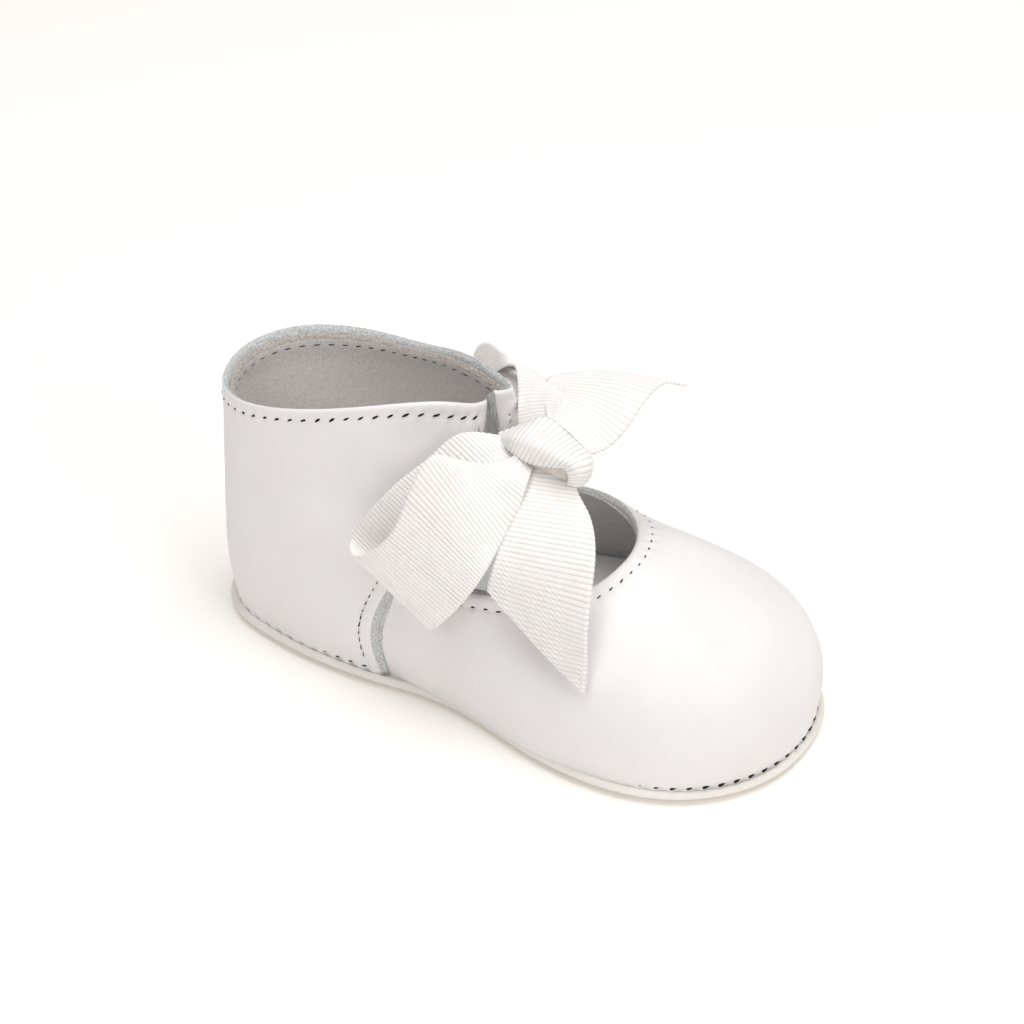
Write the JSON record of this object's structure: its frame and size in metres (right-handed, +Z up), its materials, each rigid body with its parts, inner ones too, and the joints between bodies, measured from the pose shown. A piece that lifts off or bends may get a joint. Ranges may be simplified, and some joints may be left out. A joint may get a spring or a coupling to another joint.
{
  "type": "baby bootie",
  "caption": "Soft leather baby bootie with a high collar, a U-shaped throat opening and a grosgrain ribbon bow tied across the front.",
  "frame": {"origin": "on the ground under the middle of the sole", "axes": "+X towards the toe, +Y towards the shoe's left side, +Z up"},
  "size_m": [0.1161, 0.0525, 0.0572],
  "materials": {
    "upper_leather": "smooth white nappa leather with raw grey cut edges",
    "sole_leather": "soft white leather, matt",
    "lining": "grey ribbed textile",
    "insole_cover": "pale grey-blue sock lining",
    "insole_foam": "soft foam pad",
    "thread": "matt dark thread",
    "ribbon": "ivory grosgrain ribbon"
  },
  "bodies": {
    "shoe": {"outsole": "sole_leather", "insole_pad": "insole_foam", "insole_cover": "insole_cover", "vamp": "upper_leather", "vamp_lining": "lining", "quarter": "upper_leather", "quarter_lining": "lining", "topline_stitching": "thread", "throat_stitching": "thread", "near_edge_stitching": "thread", "far_edge_stitching": "thread", "sole_stitching": "thread", "ribbon_band": "ribbon", "ribbon_knot": "ribbon"},
    "near_loop": {"near_loop": "ribbon"},
    "far_loop": {"far_loop": "ribbon"},
    "near_tail": {"near_tail": "ribbon"},
    "far_tail": {"far_tail": "ribbon"}
  },
  "joints": [
    {"name": "near_loop_lift", "type": "hinge", "parent": "shoe", "child": "near_loop", "pos_m": [0.0035, -0.0076, 0.0495], "axis": [-1, 0, 0], "range_deg": [0, 50]},
    {"name": "far_loop_lift", "type": "hinge", "parent": "shoe", "child": "far_loop", "pos_m": [0.0025, 0.005, 0.0497], "axis": [1, 0, 0], "range_deg": [0, 20]},
    {"name": "near_tail_lift", "type": "hinge", "parent": "shoe", "child": "near_tail", "pos_m": [0.009, -0.0074, 0.045], "axis": [0, -1, 0], "range_deg": [0, 45]},
    {"name": "far_tail_lift", "type": "hinge", "parent": "shoe", "child": "far_tail", "pos_m": [0.0105, 0.0045, 0.0516], "axis": [1, 0, 0], "range_deg": [0, 45]}
  ]
}
